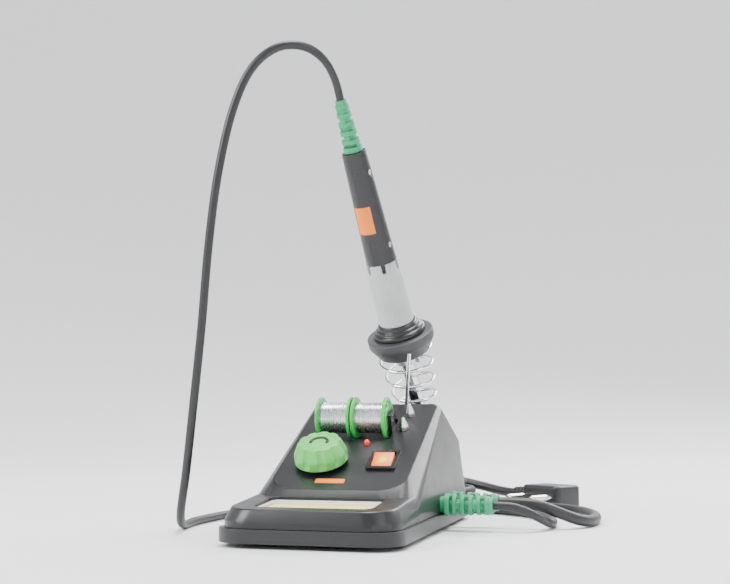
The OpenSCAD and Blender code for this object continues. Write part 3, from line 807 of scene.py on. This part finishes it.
def deck_points(inset):
    """The low front deck, which runs under the whole housing. inset makes the space inside."""
    flat, low = Matrix.Identity(4), PLINTH_Z + SEAM - (1 if inset else 0)
    r, edge = 15 - inset, 1.5
    front_z, back_z = 16.5 - inset, 28 - inset
    out = []
    for x in (-1, 1):
        for y in (-1, 1):
            cx, cy = x * (HALF_W - 17), y * (HALF_L - 17)
            out += ring(flat, cx, cy, r, low) + ring(flat, cx, cy, r, low + 3)
            top = shift(x * (HALF_W - 19), y * (HALF_L - 19),
                        front_z if y < 0 else back_z) @ turn(4, "X")
            for t in quarter(5):
                out += ring(top, 0, 0, r - edge + edge * math.cos(t), edge * math.sin(t))
    return out


def wedge_points(inset):
    """The wedge behind the deck, which carries the panel. inset makes the space inside."""
    flat, low = Matrix.Identity(4), PLINTH_Z + SEAM - (1 if inset else 0)
    down = inset + 1.4 if inset else 0
    rim = ([(BEVEL - inset, -BEVEL - down), (-inset, -down)] if inset else
           [(2.6, -2.6), (2.6, -2.3), (2.5, -1.95), (2.25, -1.7), (0.55, -0.32), (0.28, -0.12),
            (0, 0)])
    out = []
    for x in (-1, 1):
        for cy, r in ((-PANEL_HALF_L + PANEL_FRONT_R, PANEL_FRONT_R),
                      (PANEL_HALF_L - PANEL_BACK_R, PANEL_BACK_R)):
            for grow, z in rim:
                out += ring(FLAT_PANEL, x * (PANEL_HALF_W - r), cy, r + grow, z)
        # A ball that rounds the high corner behind the panel.
        for t in quarter(8, -8):
            out += ring(flat, x * (HALF_W - 12.5 - inset), HALF_L - 8 - inset, 6 * math.cos(t),
                        42 - inset + 6 * math.sin(t), 48)
        for cy, r, high in ((HALF_L - 14 - inset, 12, 6), (-44 + inset, 14, 5)):
            cx = x * (HALF_W - 2 - inset - r)
            out += ring(flat, cx, cy, r, low) + ring(flat, cx, cy, r, low + high)
    return out


def panel_block(grow, z0, z1):
    """The panel's outline drawn out from z0 to z1: wide corners in front, tight ones behind."""
    line = []
    for cx, cy, r, a in ((1, PANEL_HALF_L - PANEL_BACK_R, PANEL_BACK_R, 0),
                         (-1, PANEL_HALF_L - PANEL_BACK_R, PANEL_BACK_R, 90),
                         (-1, -PANEL_HALF_L + PANEL_FRONT_R, PANEL_FRONT_R, 180),
                         (1, -PANEL_HALF_L + PANEL_FRONT_R, PANEL_FRONT_R, 270)):
        for k in range(13):
            t = math.radians(a + 90 * k / 12)
            reach = max(r + grow, 0.1)
            line.append((cx * (PANEL_HALF_W - r) + reach * math.cos(t),
                         cy + reach * math.sin(t)))
    return moved(drawn_out(line, z0, z1), FLAT_PANEL)


def drawn_out(line, z0, z1):
    """An outline drawn straight up from z0 to z1."""
    return [(x, y, z) for z in (z0, z1) for x, y in line], skin(2, len(line))


def plate(w, l, r, z0, z1):
    return drawn_out(rounded_outline(w, l, r, 10), z0, z1)


def bore(at, r, l):
    return moved(lathe([(r, -l / 2), (r, l / 2)], 40), shift(*at) @ turn(90, "Y"))


def housing():
    """The housing in millimetres: two hulls made hollow, with the well, the tray's bay, the
    panel's seat, the cord holes and the vents cut in."""
    body = combine(hull_object(deck_points(0)), hull_object(wedge_points(0)), "UNION")
    whole = body.copy()
    whole.data = body.data.copy()
    bpy.context.scene.collection.objects.link(whole)
    combine(body, hull_object(deck_points(SHELL)), "DIFFERENCE")
    combine(body, hull_object(wedge_points(SHELL)), "DIFFERENCE")
    well_walls = solid_object(moved(plate(35.1, 44.6, 6.8, 16.6, 86), shift(*WELL_AT)))
    bay_walls = solid_object(moved(plate(59.6, 32.6, 5.8, -9, -1), FLAT_DECK))
    combine(well_walls, whole, "INTERSECT")
    combine(body, well_walls, "UNION")
    combine(body, bay_walls, "UNION")
    cuts = [moved(plate(31.5, 41.0, 5, 18.4, 90), shift(*WELL_AT)),
            moved(plate(56.8, 29.8, 4.4, -7.6, 4), FLAT_DECK),
            panel_block(0.25, -2, 10), panel_block(-4, -6, 10)]
    cuts += [bore((HALF_W, y, EXIT_Z), 4.2, 20) for y in (MAINS_EXIT_Y, LEAD_EXIT_Y)]
    cuts += [moved(plate(26, 2.2, 1.0, 30, 70), shift(-18, 54.1 + VENT_PITCH * i, 0))
             for i in range(VENTS)]
    for cut in cuts:
        combine(body, solid_object(cut), "DIFFERENCE")
    return body


def clean(mesh):
    """Joins what the booleans left apart, makes flat faces whole, and scales to metres."""
    bm = bmesh.new()
    bm.from_mesh(mesh)
    bmesh.ops.remove_doubles(bm, verts=bm.verts, dist=0.003)
    bmesh.ops.dissolve_limit(bm, angle_limit=math.radians(0.3), verts=bm.verts,
                             edges=bm.edges)
    bmesh.ops.triangulate(bm, faces=[f for f in bm.faces if len(f.verts) > 4])
    bmesh.ops.transform(bm, matrix=MM, verts=bm.verts)
    bm.to_mesh(mesh)
    bm.free()


def even_normals(obj):
    """Large flat faces keep flat shading next to softened edges."""
    even = obj.modifiers.new("even", "WEIGHTED_NORMAL")
    even.mode = "FACE_AREA"
    even.weight = 100
    even.keep_sharp = True


shell = housing()
clean(shell.data)
shell.name = "housing_shell"
shell.data.materials.clear()
shell.data.materials.append(M["housing_black"])
smooth(shell.data, 30)
even_normals(shell)
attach(shell, "base")
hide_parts("upper_housing")

# ---------------------------------------------------------------- holder
ring_profile = soften([(11.3, -12), (14.0, -12), (18.5, -4.6), (18.5, -0.2), (17.4, 0),
                       (12.6, 0), (11.3, -0.8)], [0.4, 0.6, 1.2, 1.6, 1.0, 0.8, 0.6], True, 5)
piece("holder_collar", [lathe(ring_profile, 120, True)], HOLDER, "base", "holder_grey",
      ["holder_ring"])


def holder_wire():
    """Eight turns that narrow on their way down from the collar."""
    turns, per_turn, out = 8, 44, []
    for k in range(turns * per_turn + 1):
        t = k / (turns * per_turn)
        a = math.radians(k * 360 / per_turn)
        r = 15.4 - 9.9 * t
        out.append((r * math.cos(a), r * math.sin(a), -9.9 - t * 78))
    return out


piece("holder_spring", [tube(holder_wire(), 0.9, 10)], HOLDER, "base", "coil_chrome",
      ["holder_coil"])

# ---------------------------------------------------------------- iron
piece("iron_bit", [lathe(soften([(0.25, 0), (0.4, 0), (2.1, 12), (2.1, 31)], 1.0), 48)],
      on_holder(-84), "iron", "tip_brass", ["iron_tip"])
piece("iron_ferrule", [lathe(soften([(2.15, 0), (3.3, 0), (4.3, 2.6), (4.3, 3), (2.15, 3)],
                                    0.3, True, 2), 64, True)],
      on_holder(-69), "iron", "ferrule_copper", ["tip_ferrule"])
barrel_profile = soften([(3.8, 0), (4.3, 0), (4.3, 1.6), (4.12, 1.9), (4.12, 2.5), (4.3, 2.8),
                         (4.3, 52), (4.05, 52.4), (4.05, 53.2), (4.3, 53.6), (4.3, 60),
                         (3.8, 60)], 0.15, True, 2)
piece("iron_barrel", [lathe(barrel_profile, 72, True)], on_holder(-66), "iron",
      "barrel_steel", ["heater_barrel"])


def knurl(teeth, depth):
    """Teeth on a lathed shape's outside."""
    def change(angle, r, z):
        return (r - depth * (0.5 + 0.5 * math.cos(teeth * angle)) if r > 6 else r), z
    return change


nut_shapes = [lathe(soften([(4.32, 0), (6.0, 0), (6.5, 0.6), (6.5, 5.2), (6.1, 5.8),
                            (4.32, 5.8)], 0.2, True, 2), 160, True, knurl(32, 0.25))]
for side in (1, -1):
    nut_shapes.append(moved(slab(3, 2, 0.5, 0, 3.4, 0.3, 4, 2), shift(7 * side, 0, 0)))
piece("iron_nut", nut_shapes, on_holder(-18), "iron", "nut_steel", ["barrel_nut"])
collar_profile = soften([(4.5, 0), (9.4, 0), (9.6, 3.4), (9.3, 3.7), (9.3, 4.3), (9.7, 4.6),
                         (10.15, 11.9), (4.5, 11.9)], [0.3, 0.8, 0.2, 0.2, 0.2, 0.2, 0.3, 0.3],
                        True, 3)
piece("iron_front_collar", [lathe(collar_profile, 96, True)], on_holder(-12), "iron",
      "flange_black", ["front_collar"])
flange_profile = soften([(0.02, 0), (14.2, 0), (14.5, 0.4), (14.5, 2.4), (12.8, 3.2),
                         (12.4, 4.4), (11.4, 4.8), (10.9, 6.2), (10.4, 7), (0.02, 7)],
                        [0, 0.4, 0.5, 0.9, 0.5, 0.4, 0.4, 0.5, 0.4, 0])
piece("iron_flange", [lathe(flange_profile, 120)], on_holder(0.05), "iron", "flange_black",
      ["heat_flange"])


def grip_change(angle, r, z):
    """Thirty shallow flutes round the grip's outside, and six notches in its rear rim."""
    if r > 7:
        inside = max(0.0, min(1.0, (z - 2.4) / 1.0)) * max(0.0, min(1.0, (28 - z) / 1.0))
        r -= 0.26 * inside * (0.5 + 0.5 * math.cos(30 * angle))
    if z > 30.5:
        notch = max(0.0, min(1.0, (math.cos(6 * angle) - 0.62) / 0.12))
        z = 30.5 + (z - 30.5) * (1 - 0.9 * notch)
    return r, z


grip_line = [(6.55, 0), (9.5, 0), (9.7, 0.6)]
grip_line += [(9.7 - 0.7 * z / 36, z) for z in (1.2, 2.2, 3.4, 8, 13, 18, 23, 27, 28.2, 30, 30.6,
                                                 32, 33.5, 35.2)]
grip_line += [(8.75, 36), (6.55, 36), (6.55, 30.6), (6.55, 15)]
piece("iron_grip", [lathe(grip_line, 240, True, grip_change)], on_holder(7.1), "iron",
      "grip_grey", ["grip_sleeve"], angle=50)
ringed_relief("iron_strain_relief", on_holder(105.25), 28, 5.2, 3.5, LEAD_R, "iron",
              ["iron_relief"])


# ---------------------------------------------------------------- carried-over CAD pieces
def finish_node(obj, edge, material):
    """Softens a CAD node's edges, by edge in millimetres, and gives it a material."""
    weld = obj.modifiers.new("weld", "WELD")
    weld.merge_threshold = 0.000005
    if edge:
        flat = obj.modifiers.new("flat", "DECIMATE")
        flat.decimate_type = "DISSOLVE"
        flat.angle_limit = math.radians(0.6)
        bevel = obj.modifiers.new("edges", "BEVEL")
        bevel.width = edge * 0.001
        bevel.segments = 2
        bevel.limit_method = "ANGLE"
        bevel.angle_limit = math.radians(32)
        bevel.use_clamp_overlap = True
    even_normals(obj)
    smooth(obj.data, 34)
    obj.data.materials.clear()
    obj.data.materials.append(M[material])


SLOT_OF = {row["node"]: row["material_slot"] for row in frame["record"]["subparts"]}
PLAIN_EDGE = 0.2
EDGES = {"indicator_light": 0.0, "capacitor": 0.6}
for edge, nodes in ((0.1, "circuit_board handle_label heat_sink holder_stay"),
                    (0.15, "cover_screws handle_screws label_bar spare_tip_1 spare_tip_2"),
                    (0.25, "handle_left handle_right"),
                    (0.3, "ballast_plate knob_shaft plug_pins rubber_feet switch_frame triac"),
                    (0.35, "control_panel"),
                    (0.4, "holder_foot sponge_tray terminal_block"),
                    (0.5, "bottom_cover cord_clamps")):
    EDGES.update(dict.fromkeys(nodes.split(), edge))
for node, obj in NODES.items():
    # A node that a piece replaces is hidden.
    if not obj.hide_render:
        material = "tip_steel" if node.startswith("spare_tip") else SLOT_OF[node]
        finish_node(obj, EDGES.get(node, PLAIN_EDGE), material)

# ---------------------------------------------------------------- floor
# Flat as far as FLAT_R, then a round sweep up to the walls, all a little under the feet.
FLAT_R, SWEEP_R, FLOOR_Z = 0.7, 2.3, -0.0002
cove = [(0.001, FLOOR_Z), (FLAT_R, FLOOR_Z)]
cove += [(FLAT_R + SWEEP_R * math.sin(t), SWEEP_R * (1 - math.cos(t)) + FLOOR_Z)
         for t in quarter(24, 1)]
cove_points, cove_faces = lathe(cove, 96)
floor_mesh = bpy.data.meshes.new("floor")
# The last face would close the cove at the top.
floor_mesh.from_pydata(cove_points, [], cove_faces[:-1])
floor_mesh.polygons.foreach_set("use_smooth", [True] * len(floor_mesh.polygons))
floor = add_object("floor", floor_mesh)
floor_mesh.materials.append(plastic("floor_pale", (0.8, 0.8, 0.805), 0.6, 30, 0.02, 0.01))
